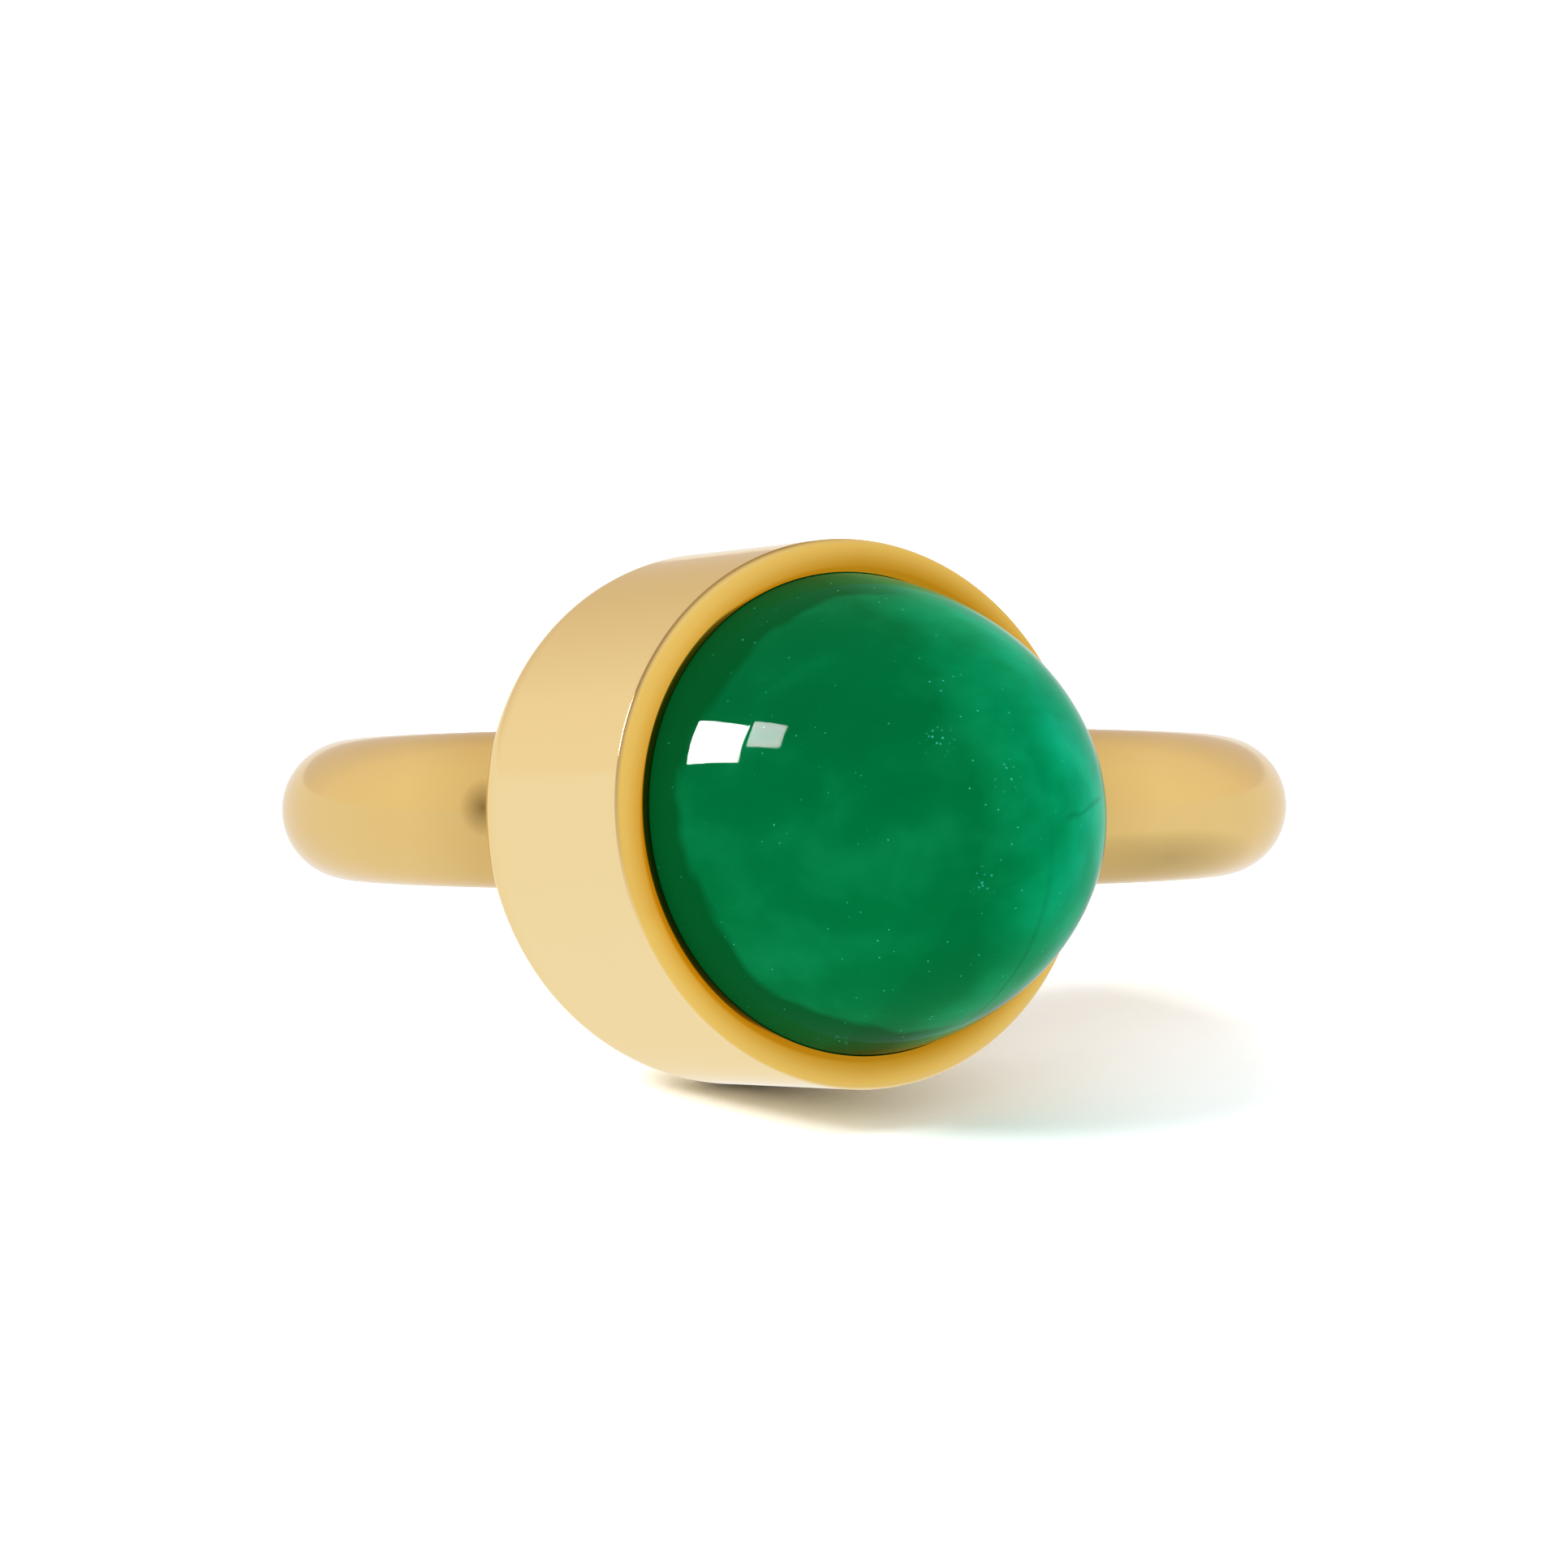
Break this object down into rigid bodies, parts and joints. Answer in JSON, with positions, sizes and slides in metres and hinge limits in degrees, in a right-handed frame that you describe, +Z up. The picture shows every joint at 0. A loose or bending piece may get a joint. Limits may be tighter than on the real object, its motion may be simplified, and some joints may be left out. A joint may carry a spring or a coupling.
{
  "type": "cocktail ring",
  "caption": "Polished yellow gold finger ring with a deep round bezel cup, turned to one side, holding a tall domed green cabochon.",
  "frame": {"origin": "on the table under the middle of the ring's box, with the ring lying on its side as it rests", "axes": "+Z up, the head with its stone faces -Y, +X to the right seen from the stone's side; the band's plane leans 12.74 degrees about X, low at the back"},
  "size_m": [0.0216, 0.0314, 0.0121],
  "materials": {
    "gold": "high polish, 18 carat yellow gold",
    "emerald": "polished, translucent, cloudy green"
  },
  "bodies": {
    "root": {"shank": "gold", "bezel_cup": "gold", "back_plate": "gold", "seat_ring": "gold", "cabochon": "emerald"}
  },
  "joints": []
}
